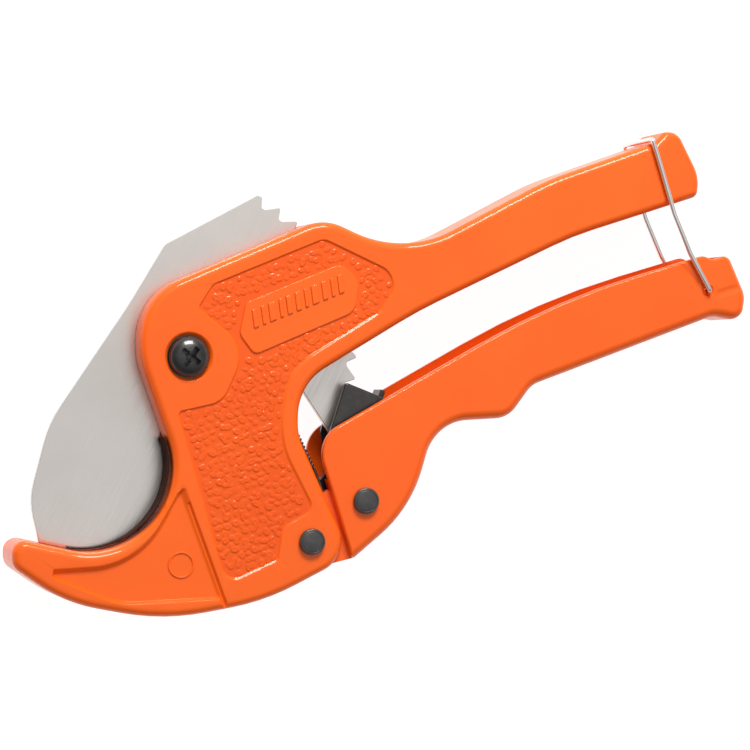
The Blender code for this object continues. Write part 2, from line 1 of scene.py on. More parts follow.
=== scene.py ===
import json
import random
from math import acos, atan2, ceil, cos, degrees, hypot, pi, radians, sin, sqrt, tan

import bmesh
import bpy
import numpy as np
from mathutils import Matrix, Vector
from mathutils.geometry import delaunay_2d_cdt


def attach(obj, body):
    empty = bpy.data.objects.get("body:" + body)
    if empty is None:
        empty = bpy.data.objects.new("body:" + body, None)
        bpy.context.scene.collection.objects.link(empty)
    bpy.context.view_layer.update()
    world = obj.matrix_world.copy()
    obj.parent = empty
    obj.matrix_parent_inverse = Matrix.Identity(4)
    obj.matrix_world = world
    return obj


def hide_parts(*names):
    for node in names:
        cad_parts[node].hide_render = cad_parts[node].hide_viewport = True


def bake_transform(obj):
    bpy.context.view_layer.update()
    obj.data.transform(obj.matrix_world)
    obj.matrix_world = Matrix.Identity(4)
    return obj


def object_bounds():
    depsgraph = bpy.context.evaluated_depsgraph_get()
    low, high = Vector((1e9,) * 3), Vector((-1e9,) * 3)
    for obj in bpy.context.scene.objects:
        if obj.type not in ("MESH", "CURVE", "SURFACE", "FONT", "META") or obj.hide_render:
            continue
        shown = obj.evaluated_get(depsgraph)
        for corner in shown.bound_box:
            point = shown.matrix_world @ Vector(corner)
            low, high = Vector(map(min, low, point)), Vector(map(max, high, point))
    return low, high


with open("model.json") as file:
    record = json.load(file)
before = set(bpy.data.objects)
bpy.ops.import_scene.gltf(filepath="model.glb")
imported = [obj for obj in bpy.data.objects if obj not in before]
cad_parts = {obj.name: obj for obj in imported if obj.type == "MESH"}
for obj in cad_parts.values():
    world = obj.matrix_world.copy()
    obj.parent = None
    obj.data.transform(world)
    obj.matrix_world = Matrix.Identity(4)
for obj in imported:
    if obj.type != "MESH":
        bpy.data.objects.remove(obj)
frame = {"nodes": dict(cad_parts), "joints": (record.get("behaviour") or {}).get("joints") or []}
CAD_LOW, CAD_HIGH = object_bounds()

# Looks of a ratchet cutter for plastic pipe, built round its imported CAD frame.
# Outlines follow the CAD's, with rounder corners at the handle ends and a smaller screw head and
# counterbore.  They are millimetres in the tool's own plane with the blade's pivot at (0, 0), and
# depths are from the blade's mid-plane.  X runs towards the handle ends, Y towards the upper handle,
# and Z out of the front face.

MM = 0.001
JOINTS = {joint["name"]: Vector(joint["pos_m"]) for joint in frame["joints"]}
PIVOT = JOINTS["blade_pivot"]
TO_WORLD = Matrix.Translation(PIVOT) @ Matrix.Scale(MM, 4)


def tool_place(joint):
    """A joint's place in the tool's plane, in millimetres from the blade's pivot."""
    offset = (JOINTS[joint] - PIVOT) / MM
    return (offset.x, offset.y)


HANDLE_PIVOT = tool_place("handle_pivot")
FEED_PIVOT = tool_place("feed_pawl_pivot")
BAIL_PIVOT = tool_place("bail_swing")
BLADE_PIVOT = (0.0, 0.0)

# ---- Design dimensions, in millimetres -----------------------------------------------------------

BODY_HALF = 9.0
FRAME_RIM = 2.0
WALL = 2.5
GAP = 0.3
BLADE_HALF = 1.0
SLOT_HALF = 1.3
TIP_RADIUS = 45.4
ROOT_RADIUS = 43.0
TOOTH_PITCH = 7.0
FIRST_TOOTH = -28.25
TOOTH_COUNT = 14
MOUTH_RADIUS = 20.8
MOUTH_CENTRE = (-25.8, -26.8)
MOUTH_HALF_TURN = radians(61.45)
EDGE_OVERLAP = 3.0
POCKET_HALF = BODY_HALF - WALL
HANDLE_HALF = 8.8
HANDLE_WALL = 1.8
CHEEK_HALF = 6.2
CHEEK_WALL = 1.8
RIVET_HEAD = 3.3
RIVET_SHANK = 2.4
RIVET_HEAD_HEIGHT = 1.2
RIVET_BORE = RIVET_SHANK + GAP
PIVOT_BORE = 4.3
HEAD_RECESS_RADIUS = 6.1
HEAD_RECESS_FLOOR = BODY_HALF - 2.1
SPRING_POCKET_RADIUS = 8.5
SPRING_POCKET_TOP = SLOT_HALF + 4.0
WIRE_RADIUS = 0.65
SCREW_HEAD = 5.1
SCREW_SHANK = 2.4
WASHER_THICKNESS = 0.8
ARC_STEP = 4.0                  # degrees of turn per straight piece of a rounded outline

# Outlines are corners (x, y, rounding radius), counter-clockwise.
HANDLE_GROOVE = [(34.6, -26.2, 6.0), (42.6, -51.5, 0.8)]
MOUTH_CORNER = (7.9, -56.5, MOUTH_RADIUS)

FRAME_OUTLINE = [
    (-44.0, -44.32, 3.2), (-43.9, -51.5, 3.8), (-31.0, -60.6, 40.0), (-6.0, -65.6, 60.0),
    (20.0, -61.3, 60.0), (42.3, -50.3, 8.2), (28.3, -19.7, 14.0), (28.6, -6.9, 14.0),
    (60.0, 11.6, 120.0), (102.0, 31.3, 90.0), (136.8, 42.3, 2.2), (137.4, 47.6, 10.0),
    (131.2, 59.3, 4.0), (127.4, 59.0, 1.4), (124.6, 56.2, 1.4), (95.0, 45.8, 70.0),
    (56.4, 25.8, 30.0), (35.2, 35.1, 12.0), (-10.0, 15.8, 16.0), (-12.9, 1.5, 22.0), MOUTH_CORNER,
]

PANEL_OUTLINE = [
    (23.0, -51.5, 1.5), (24.2, -43.0, 4.0), (32.8, -38.6, 3.0), (23.4, -20.5, 22.0), (26.5, -3.4, 14.0),
    (50.0, 10.8, 6.0), (55.6, 20.6, 5.5), (34.8, 30.0, 4.0), (6.0, 18.2, 3.0), (2.0, 12.0, 1.2),
    (14.3, 2.0, 8.0), (8.5, -11.0, 6.0), (-3.2, -13.6, 1.5), (9.5, -57.5, 4.0),
]

PLAQUE_OUTLINE = [
    (12.8, 5.6, 3.0), (16.8, 0.4, 2.0), (43.0, 11.4, 4.0), (44.0, 19.6, 4.0), (39.2, 23.6, 3.0),
    (14.6, 13.6, 2.0),
]

HOOK_POCKET = [
    (-0.8, -31.8, 1.0), (-3.6, -34.4, 2.0), (-13.5, -51.0, 20.0), (-34.2, -52.0, 0.8),
    (-34.2, -54.4, 0.8), (-17.5, -61.6, 24.0), (9.8, -60.6, 1.0),
]

HANDLE_PALM = [
    (58.3, -38.7, 34.0), (65.0, -16.6, 12.0), (84.6, -15.6, 7.0), (91.0, -7.2, 7.0), (141.5, 10.9, 6.0),
    (149.8, 9.6, 3.5), (150.8, 16.5, 6.0), (145.9, 27.3, 2.4),
]

HANDLE_RIM = [(140.9, 25.7, 3.0), (138.3, 26.8, 3.0), (97.5, 14.9, 220.0), (34.4, -19.8, 8.0)]

BLADE_SPINE = [
    (-4.2, 28.2, 3.0), (-13.6, 12.8, 80.0), (-33.6, -16.5, 30.0), (-38.6, -35.5, 18.0),
    (-35.2, -49.6, 1.0),
]

BLADE_HEEL = [(-3.5, -16.0, 3.0), (14.0, -10.5, 12.0), (29.5, -5.9, 2.5)]
HOLD_PAWL_ARM = [(40.0, -33.5, 3.0), (45.2, -22.4, 1.5), (42.2, -19.0, 0.6), (38.8, -27.8, 8.0)]
FEED_PAWL_WALL = [(53.0, -10.9, 0.8), (41.5, -6.4, 0.8), (37.4, -19.0, 2.0)]


# ---- Camera, lights and floor --------------------------------------------------------------------

HORIZON = 1.00                  # brightness of the surroundings, from the horizon up to the zenith
SIDES = 0.36
OVERHEAD = 0.94
DIM_SIDE = 0.50                 # share of that brightness on the side away from the key light
KEY_POWER = 7.0
KEY_PLACE = (0.02, 0.62, 0.50)  # metres
KEY_SIZE = (0.38, 0.24)
KEY_COLOUR = (1.0, 0.955, 0.89)
FLOOR_GLOW = 0.94               # the floor is a lit white table
FLOOR_GREY = 0.20
FLOOR_HALF = 4.0                # metres
CAMERA_TARGET = (48.13, -4.58)  # the point of the front face in the middle of the view
CAMERA_TURN = radians(16.5)     # to the left of square on
CAMERA_DISTANCE = 0.704         # metres from the front face
CAMERA_LENS = 133.44


def aimed(location, target, up):
    """World matrix of something that looks at a target."""
    back = (Vector(location) - Vector(target)).normalized()
    right = Vector(up).cross(back).normalized()
    turned_matrix = Matrix((right, back.cross(right), back)).transposed().to_4x4()
    turned_matrix.translation = location
    return turned_matrix


def make_camera():
    """A long lens, a little to the left of square on to the front face."""
    face = PIVOT + Vector((*CAMERA_TARGET, BODY_HALF)) * MM
    way = Vector((-sin(CAMERA_TURN), 0.0, cos(CAMERA_TURN)))
    data = bpy.data.cameras.new("view")
    data.sensor_width = 36.0
    data.lens = CAMERA_LENS
    data.clip_start = 0.01
    data.clip_end = 20.0
    camera = bpy.data.objects.new("view", data)
    bpy.context.scene.collection.objects.link(camera)
    camera.matrix_world = aimed(face + way * CAMERA_DISTANCE, face, (0, 1, 0))
    bpy.context.scene.camera = camera


def area_light(name, location, target, size, power, colour):
    """A rectangular soft box."""
    data = bpy.data.lights.new(name, 'AREA')
    data.shape = 'RECTANGLE'
    data.size = size[0]
    data.size_y = size[1]
    data.energy = power
    data.color = colour
    light = bpy.data.objects.new(name, data)
    bpy.context.scene.collection.objects.link(light)
    light.matrix_world = aimed(Vector(location), Vector(target), (0.1, 0.2, 1.0))


def make_studio():
    """White floor, a soft box behind the upper handle, and surroundings that are dimmer opposite it."""
    world = bpy.data.worlds.new("studio")
    world.use_nodes = True
    tree = world.node_tree
    coordinates = tree.nodes.new('ShaderNodeTexCoord')
    parts = tree.nodes.new('ShaderNodeSeparateXYZ')
    ramp = tree.nodes.new('ShaderNodeValToRGB')
    tree.links.new(coordinates.outputs["Generated"], parts.inputs["Vector"])
    tree.links.new(parts.outputs["Z"], ramp.inputs["Fac"])
    tree.links.new(ramp.outputs["Color"], tree.nodes["Background"].inputs["Color"])
    side = tree.nodes.new('ShaderNodeVectorMath')
    side.operation = 'DOT_PRODUCT'
    side.inputs[1].default_value = (0.42, 0.91, 0.0)
    tree.links.new(coordinates.outputs["Generated"], side.inputs[0])
    tree.links.new(ranged(tree, side.outputs["Value"], DIM_SIDE, 1.0, -0.6, 0.3),
                   tree.nodes["Background"].inputs["Strength"])
    ramp.color_ramp.elements[0].position = 0.10
    ramp.color_ramp.elements[1].position = 0.30
    for level, element in ((HORIZON, ramp.color_ramp.elements[0]), (SIDES, ramp.color_ramp.elements[1]),
                           (SIDES, ramp.color_ramp.elements.new(0.65)),
                           (OVERHEAD, ramp.color_ramp.elements.new(0.90))):
        element.color = (level, level, level, 1.0)
    bpy.context.scene.world = world
    bpy.context.scene.view_settings.view_transform = 'Standard'
    area_light("key", KEY_PLACE, (0.0, 0.0, 0.01), KEY_SIZE, KEY_POWER, KEY_COLOUR)
    mesh = bpy.data.meshes.new("floor")
    half = FLOOR_HALF
    level = CAD_LOW.z - 0.0002
    mesh.from_pydata([(-half, -half, level), (half, -half, level), (half, half, level), (-half, half, level)],
                     [], [(0, 1, 2, 3)])
    floor = bpy.data.objects.new("floor", mesh)
    bpy.context.scene.collection.objects.link(floor)
    material = bpy.data.materials.new("floor")
    material.use_nodes = True
    shader = material.node_tree.nodes["Principled BSDF"]
    shader.inputs["Base Color"].default_value = (FLOOR_GREY, FLOOR_GREY, FLOOR_GREY, 1.0)
    shader.inputs["Roughness"].default_value = 0.9
    shader.inputs["Specular IOR Level"].default_value = 0.1
    shader.inputs["Emission Color"].default_value = (1.0, 1.0, 1.0, 1.0)
    shader.inputs["Emission Strength"].default_value = FLOOR_GLOW
    mesh.materials.append(material)


# ---- Outlines ------------------------------------------------------------------------------------

def intersection(point_a, direction_a, point_b, direction_b):
    """Where two lines in the plane meet."""
    cross = direction_a[0] * direction_b[1] - direction_a[1] * direction_b[0]
    dx = point_b[0] - point_a[0]
    dy = point_b[1] - point_a[1]
    along = (dx * direction_b[1] - dy * direction_b[0]) / cross
    return (point_a[0] + along * direction_a[0], point_a[1] + along * direction_a[1])


def moved_inward(corners, insets):
    """The same polygon with each edge moved inward; insets is one distance, or one for each edge."""
    count = len(corners)
    if not isinstance(insets, (list, tuple)):
        insets = [insets] * count
    result = []
    for i, (x, y, radius) in enumerate(corners):
        before = corners[i - 1]
        after = corners[(i + 1) % count]
        length_in = hypot(x - before[0], y - before[1])
        length_out = hypot(after[0] - x, after[1] - y)
        way_in = ((x - before[0]) / length_in, (y - before[1]) / length_in)
        way_out = ((after[0] - x) / length_out, (after[1] - y) / length_out)
        inset_in = insets[i - 1]
        inset_out = insets[i]
        start = (x - inset_in * way_in[1], y + inset_in * way_in[0])
        end = (x - inset_out * way_out[1], y + inset_out * way_out[0])
        turn = way_in[0] * way_out[1] - way_in[1] * way_out[0]
        corner = start if abs(turn) < 1e-6 else intersection(start, way_in, end, way_out)
        if radius > 0:
            change = (inset_in + inset_out) / 2
            radius = max(radius - change if turn > 0 else radius + change, 0.05)
        result.append((corner[0], corner[1], radius))
    return result


def outline(corners, insets=0.0, step=ARC_STEP):
    """Points of a closed outline with rounded corners, its edges moved inward by insets."""
    points = []
    count = len(corners)
    sharp = moved_inward(corners, insets)
    for i, (x, y, radius) in enumerate(sharp):
        if radius == 0:
            points.append((x, y))
            continue
        before = sharp[i - 1]
        after = sharp[(i + 1) % count]
        heading_in = atan2(y - before[1], x - before[0])
        heading_out = atan2(after[1] - y, after[0] - x)
        turn = (heading_out - heading_in + pi) % (2 * pi) - pi
        side = 1 if turn > 0 else -1
        reach = radius * tan(abs(turn) / 2)
        start = (x - reach * cos(heading_in), y - reach * sin(heading_in))
        centre = (start[0] - side * radius * sin(heading_in), start[1] + side * radius * cos(heading_in))
        plain = corners[i]
        plain_before = corners[i - 1]
        plain_after = corners[(i + 1) % count]
        plain_turn = (atan2(plain_after[1] - plain[1], plain_after[0] - plain[0])
                      - atan2(plain[1] - plain_before[1], plain[0] - plain_before[0]) + pi) % (2 * pi) - pi
        steps = max(2, ceil(abs(degrees(plain_turn)) / step))
        for k in range(steps + 1):
            angle = heading_in + turn * k / steps - side * pi / 2
            points.append((centre[0] + radius * cos(angle), centre[1] + radius * sin(angle)))
    return points


def circle(centre, radius, sides=96):
    """Points of a circle, counter-clockwise."""
    angles = [2 * pi * k / sides for k in range(sides)]
    return [(centre[0] + radius * cos(a), centre[1] + radius * sin(a)) for a in angles]


def lug_corners(centre, radius, corners):
    """A round hub joined by tangents to the first and last of some corners beyond it."""
    ends = []
    for corner, side in ((corners[-1], 1), (corners[0], -1)):
        distance = hypot(corner[0] - centre[0], corner[1] - centre[1])
        ends.append(atan2(corner[1] - centre[1], corner[0] - centre[0]) + side * acos(radius / distance))
    sweep = (ends[1] - ends[0]) % (2 * pi)
    steps = ceil(degrees(sweep) / ARC_STEP)
    hub = []
    for k in range(steps + 1):
        angle = ends[0] + sweep * k / steps
        hub.append((centre[0] + radius * cos(angle), centre[1] + radius * sin(angle), 0.0))
    return list(corners) + hub


def strip(start, end, half):
    """Corners of a narrow rectangle from one point to another."""
    length = hypot(end[0] - start[0], end[1] - start[1])
    x = (end[0] - start[0]) / length * half
    y = (end[1] - start[1]) / length * half
    return [(start[0] + y, start[1] - x, 0.0), (end[0] + y, end[1] - x, 0.0),
            (end[0] - y, end[1] + x, 0.0), (start[0] - y, start[1] + x, 0.0)]


def mouth_offset(distance):
    """The mouth's corner with its round surface moved outward, into the casting."""
    reach = distance / cos(MOUTH_HALF_TURN)
    away = Vector((MOUTH_CORNER[0] - MOUTH_CENTRE[0], MOUTH_CORNER[1] - MOUTH_CENTRE[1])).normalized()
    return (MOUTH_CORNER[0] + reach * away.x, MOUTH_CORNER[1] + reach * away.y, MOUTH_RADIUS + distance)


# ---- Meshes, in tool millimetres -----------------------------------------------------------------

def stacked(layers):
    """A closed mesh through equal rings of points: layers is [(points, depth), ...]."""
    count = len(layers[0][0])
    vertices = [(x, y, depth) for points, depth in layers for x, y in points]
    faces = [list(range(count))[::-1]]
    for level in range(len(layers) - 1):
        low = level * count
        high = low + count
        for i in range(count):
            j = (i + 1) % count
            faces.append([low + i, low + j, high + j, high + i])
    top = (len(layers) - 1) * count
    faces.append([top + i for i in range(count)])
    mesh = bpy.data.meshes.new("stacked")
    mesh.from_pydata(vertices, [], faces)
    return mesh


def slab(points, low, high):
    """A straight-sided plate between two depths."""
    return stacked([(points, low), (points, high)])


def quarter(distance, radius):
    """How far a round edge draws in, at a distance under the face that it runs into."""
    if distance >= radius:
        return 0.0
    return radius - sqrt(radius * radius - (radius - distance) ** 2)


def rounded_slab(corners, half, radii, distances, step=ARC_STEP):
    """A plate with round edges on both faces; radii is one rounding, or one for each edge."""
    if not isinstance(radii, (list, tuple)):
        radii = [radii] * len(corners)
    rings = [(outline(corners, [quarter(d, r) for r in radii], step), d) for d in distances]
    layers = [(points, d - half) for points, d in rings]
    layers += [(points, half - d) for points, d in reversed(rings)]
    return stacked(layers)


def arc_distances(radius, steps):
    """Distances under a face that follow a round edge in even turns."""
    return [radius * (1 - cos(pi / 2 * k / steps)) for k in range(steps + 1)]


def dished(corners, floor, face, widths, steps=6):
    """A cutter for a sunk field: its wall runs in an S from the face down to the floor."""
    if not isinstance(widths, (list, tuple)):
        widths = [widths] * len(corners)
    layers = []
    for k in range(steps + 1):
        share = k / steps
        rise = share * share * (3 - 2 * share)
        layers.append((outline(corners, [w * (1 - share) for w in widths]), floor + (face - floor) * rise))
    layers.append((outline(corners, [-0.02] * len(corners)), face + 1.0))
    return stacked(layers)


def turned(centre, profile, sides=96):
    """A turned solid from a (radius, depth) profile that starts and ends on the axis."""
    vertices = []
    rings = []
    for radius, depth in profile:
        if radius == 0:
            rings.append([len(vertices)])
            vertices.append((centre[0], centre[1], depth))
        else:
            rings.append([len(vertices) + k for k in range(sides)])
            vertices += [(x, y, depth) for x, y in circle(centre, radius, sides)]
    faces = []
    for lower, upper in zip(rings, rings[1:]):
        for k in range(sides):
            face = [lower[k % len(lower)], lower[(k + 1) % len(lower)],
                    upper[(k + 1) % len(upper)], upper[k % len(upper)]]
            faces.append(list(dict.fromkeys(face)))
    mesh = bpy.data.meshes.new("turned")
    mesh.from_pydata(vertices, [], faces)
    return mesh


def tube(path, radius, sides=16):
    """Round wire through points, closed at both ends, without twist."""
    points = [Vector(p) for p in path]
    ways = []
    for i, point in enumerate(points):
        ahead = points[min(i + 1, len(points) - 1)] - points[max(i - 1, 0)]
        ways.append(ahead.normalized())
    across = ways[0].orthogonal().normalized()
    vertices = []
    for i, (point, way) in enumerate(zip(points, ways)):
        if i:
            across = ways[i - 1].rotation_difference(way) @ across
            across = (across - way * across.dot(way)).normalized()
        other = way.cross(across)
        for k in range(sides):
            angle = 2 * pi * k / sides
            vertices.append(point + (across * cos(angle) + other * sin(angle)) * radius)
    faces = [list(range(sides))[::-1]]
    for level in range(len(points) - 1):
        low = level * sides
        high = low + sides
        for k in range(sides):
            j = (k + 1) % sides
            faces.append([low + k, low + j, high + j, high + k])
    last = (len(points) - 1) * sides
    faces.append([last + k for k in range(sides)])
    mesh = bpy.data.meshes.new("tube")
    mesh.from_pydata([tuple(v) for v in vertices], [], faces)
    return mesh


def rounded_path(corners, steps=7):
    """Points along straight runs joined by round bends; corners are (x, y, depth, bend radius)."""
    path = [Vector(corners[0][:3])]
    for before, here, after in zip(corners, corners[1:], corners[2:]):
        corner = Vector(here[:3])
        way_in = (corner - Vector(before[:3])).normalized()
        way_out = (Vector(after[:3]) - corner).normalized()
        turn = way_in.angle(way_out)
        reach = here[3] * tan(turn / 2)
        start = corner - way_in * reach
        end = corner + way_out * reach
        for k in range(steps + 1):
            share = k / steps
            path.append(start.lerp(corner, share).lerp(corner.lerp(end, share), share))
    path.append(Vector(corners[-1][:3]))
    return path


def merged(meshes):
    """One mesh of several separate closed bodies."""
    vertices = []
    faces = []
    for mesh in meshes:
        base = len(vertices)
        vertices += [tuple(v.co) for v in mesh.vertices]
        faces += [[base + i for i in face.vertices] for face in mesh.polygons]
        bpy.data.meshes.remove(mesh)
    result = bpy.data.meshes.new("merged")
    result.from_pydata(vertices, [], faces)
    return result


def carved(base, *steps):
    """Exact Booleans in order; each step is (operation, mesh)."""
    scene = bpy.context.scene
    target = bpy.data.objects.new("carving", base)
    scene.collection.objects.link(target)
    tools = []
    for operation, mesh in steps:
        tool = bpy.data.objects.new("carving_tool", mesh)
        scene.collection.objects.link(tool)
        tools.append(tool)
        modifier = target.modifiers.new("carve", 'BOOLEAN')
        modifier.operation = operation
        modifier.object = tool
        modifier.solver = 'EXACT'
    bpy.context.view_layer.update()
    graph = bpy.context.evaluated_depsgraph_get()
    result = bpy.data.meshes.new_from_object(target.evaluated_get(graph))
    shape = bmesh.new()
    shape.from_mesh(result)
    bmesh.ops.triangulate(shape, faces=[face for face in shape.faces if len(face.verts) > 4])
    shape.to_mesh(result)
    shape.free()
    for item in [target] + tools:
        data = item.data
        bpy.data.objects.remove(item)
        bpy.data.meshes.remove(data)
    return result


def piece(name, mesh, body, material, slot, *nodes, crease=32):
    """Puts a finished mesh into the world frame, on its body, in its material."""
    mesh.transform(TO_WORLD)
    mesh.name = name
    mesh.materials.clear()
    mesh.materials.append(material)
    mesh.shade_smooth()
    mesh.set_sharp_from_angle(angle=radians(crease))
    obj = bpy.data.objects.new(name, mesh)
    bpy.context.scene.collection.objects.link(obj)
    even = obj.modifiers.new("even_normals", 'WEIGHTED_NORMAL')
    even.keep_sharp = True
    even.weight = 100
    if body:
        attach(obj, body)
    if nodes:
        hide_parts(*nodes)
    return obj


# ---- Materials -----------------------------------------------------------------------------------

def mapped(tree, stretch=(1.0, 1.0, 1.0), turn=0.0):
    """The tool's own coordinates, in metres, turned about Z and stretched."""
    coordinates = tree.nodes.new('ShaderNodeTexCoord')
    mapping = tree.nodes.new('ShaderNodeMapping')
    mapping.vector_type = 'TEXTURE'
    mapping.inputs["Rotation"].default_value = (0.0, 0.0, turn)
    mapping.inputs["Scale"].default_value = stretch
    tree.links.new(coordinates.outputs["Object"], mapping.inputs["Vector"])
    return mapping.outputs["Vector"]


def noise(tree, vector, scale, detail=2.0, rough=0.5):
    """Noise from 0 to 1; scale is features per metre."""
    node = tree.nodes.new('ShaderNodeTexNoise')
    node.inputs["Scale"].default_value = scale
    node.inputs["Detail"].default_value = detail
    node.inputs["Roughness"].default_value = rough
    tree.links.new(vector, node.inputs["Vector"])
    return node.outputs["Fac"]


def ranged(tree, value, low, high, start=0.3, end=0.7):
    """A value between start and end, spread from low to high."""
    node = tree.nodes.new('ShaderNodeMapRange')
    node.inputs["From Min"].default_value = start
    node.inputs["From Max"].default_value = end
    node.inputs["To Min"].default_value = low
    node.inputs["To Max"].default_value = high
    tree.links.new(value, node.inputs["Value"])
    return node.outputs["Result"]


def mixed(tree, factor, colour_a, colour_b):
    """Two colours, or the colour outputs of two nodes, mixed by a factor."""
    node = tree.nodes.new('ShaderNodeMix')
    node.data_type = 'RGBA'
    tree.links.new(factor, node.inputs["Factor"])
    for socket, colour in ((node.inputs["A"], colour_a), (node.inputs["B"], colour_b)):
        if isinstance(colour, tuple):
            socket.default_value = (*colour, 1.0)
        else:
            tree.links.new(colour, socket)
    return node.outputs["Result"]


def bumped(tree, height, distance, normal=None):
    """A bump of a height in metres."""
    node = tree.nodes.new('ShaderNodeBump')
    node.inputs["Distance"].default_value = distance
    node.inputs["Strength"].default_value = 1.0
    tree.links.new(height, node.inputs["Height"])
    if normal is not None:
        tree.links.new(normal, node.inputs["Normal"])
    return node.outputs["Normal"]


def material_base(name, metallic, coat=0.0, coat_roughness=0.03):
    """A Principled material, its shader and its node tree."""
    material = bpy.data.materials.new(name)
    material.use_nodes = True
    shader = material.node_tree.nodes["Principled BSDF"]
    shader.inputs["Metallic"].default_value = metallic
    shader.inputs["Coat Weight"].default_value = coat
    shader.inputs["Coat Roughness"].default_value = coat_roughness
    shader.inputs["Coat IOR"].default_value = 1.6
    return material, shader, material.node_tree


def enamel(name, colour, deep, coat=0.38):
    """Sprayed gloss enamel: slight orange peel, soft cloudiness and a few dust specks."""
    material, shader, tree = material_base(name, 0.0, coat, 0.05)
    shader.inputs["Specular IOR Level"].default_value = 0.14
    place = mapped(tree)
    clouds = ranged(tree, noise(tree, place, 45.0, 3.0), 0.0, 1.0)
    tree.links.new(mixed(tree, clouds, colour, deep), shader.inputs["Base Color"])
    gloss = ranged(tree, noise(tree, place, 260.0, 3.0), 0.34, 0.46)
    tree.links.new(gloss, shader.inputs["Roughness"])
    peel = bumped(tree, noise(tree, place, 620.0, 1.0), 0.000012)
    specks = bumped(tree, ranged(tree, noise(tree, place, 2400.0, 0.0), 0.0, 1.0, 0.76, 0.86), 0.00001, peel)
    tree.links.new(specks, shader.inputs["Normal"])
    return material


def brushed(name, colour, dark, turn, stretch, roughness=(0.26, 0.42), depth=0.000006):
    """Metal with fine parallel scratches along one direction."""
    material, shader, tree = material_base(name, 1.0)
    along = mapped(tree, stretch, turn)
    fine = noise(tree, along, 2600.0, 4.0, 0.6)
    broad = noise(tree, mapped(tree), 38.0, 3.0)
    base = mixed(tree, ranged(tree, broad, 0.0, 1.0), colour, dark)
    tree.links.new(mixed(tree, ranged(tree, fine, 0.0, 0.5), base, dark), shader.inputs["Base Color"])
    tree.links.new(ranged(tree, fine, *roughness), shader.inputs["Roughness"])
    tree.links.new(bumped(tree, fine, depth), shader.inputs["Normal"])
    return material


def blackened(name, colour, worn, metallic, roughness, oil, specular=0.5):
    """Dark finish on metal, a little lighter where it has rubbed, under a film of oil."""
    material, shader, tree = material_base(name, metallic, oil, 0.08)
    shader.inputs["Specular IOR Level"].default_value = specular
    place = mapped(tree)
    rub = ranged(tree, noise(tree, place, 420.0, 4.0, 0.6), 0.0, 1.0, 0.45, 0.8)
    tree.links.new(mixed(tree, rub, colour, worn), shader.inputs["Base Color"])
    tree.links.new(ranged(tree, noise(tree, place, 900.0, 3.0), *roughness), shader.inputs["Roughness"])
    tree.links.new(bumped(tree, noise(tree, place, 3200.0, 2.0), 0.000004), shader.inputs["Normal"])
    return material


FRAME_ENAMEL = enamel("frame_enamel", (0.93, 0.130, 0.005), (0.91, 0.117, 0.004))
# The panel's enamel is the frame's, painted darker as shade for the sunk pebbled field, with a thinner coat.
PANEL_ENAMEL_SHADED = enamel("panel_enamel_painted_shade", (0.86, 0.105, 0.004), (0.82, 0.090, 0.003), 0.30)
HANDLE_ENAMEL = enamel("handle_enamel", (0.93, 0.124, 0.005), (0.91, 0.112, 0.004))
BLADE_STEEL = brushed("blade_steel", (0.74, 0.705, 0.675), (0.65, 0.615, 0.585), radians(62),
                      (30.0, 1.0, 1.0))
ZINC = brushed("zinc_plate", (0.66, 0.66, 0.64), (0.55, 0.55, 0.54), 0.0, (1.0, 1.0, 6.0))
SPRING_STEEL = brushed("spring_steel", (0.20, 0.19, 0.185), (0.12, 0.115, 0.11), 0.0, (2.0, 2.0, 2.0))
BRIGHT_WIRE = brushed("bright_wire", (0.88, 0.84, 0.81), (0.74, 0.70, 0.67), radians(-68), (30.0, 2.0, 2.0),
                      (0.16, 0.24), 0.000001)
BLACK_OXIDE = blackened("black_oxide", (0.010, 0.009, 0.009), (0.030, 0.028, 0.027), 0.0, (0.26, 0.36), 0.45)
RIVET_STEEL = blackened("rivet_steel", (0.040, 0.037, 0.038), (0.075, 0.070, 0.071), 0.2, (0.34, 0.46), 0.3)
# Painted shade: a dull dark brown for the strips on the mouth's wall, standing in for the shade there; the
# wall itself is the frame's orange enamel.
MOUTH_SHADE_PAINT = blackened("mouth_shade_paint", (0.030, 0.010, 0.006), (0.060, 0.017, 0.008), 0.0, (0.62, 0.78), 0.0,
                      0.08)
PAWL_STEEL = blackened("pawl_steel", (0.016, 0.016, 0.015), (0.034, 0.034, 0.032), 0.1, (0.30, 0.44), 0.3)


# ---- Frame ---------------------------------------------------------------------------------------

PANEL_FLOOR = BODY_HALF - 0.5
PANEL_WALLS = [0.55, 0.55, 0.9, 1.2, 1.2, 0.9] + [0.55] * 7 + [1.2]
HOOK_FLOOR = BODY_HALF - 1.2
HOOK_WALLS = [0.9, 1.7, 1.5, 0.5, 0.8, 0.9, 2.2]
GROOVE_START = (-0.4, -35.9)
GROOVE_END = (11.9, -69.3)
GROOVE_HALF = 0.9
GROOVE_DEPTH = 0.85


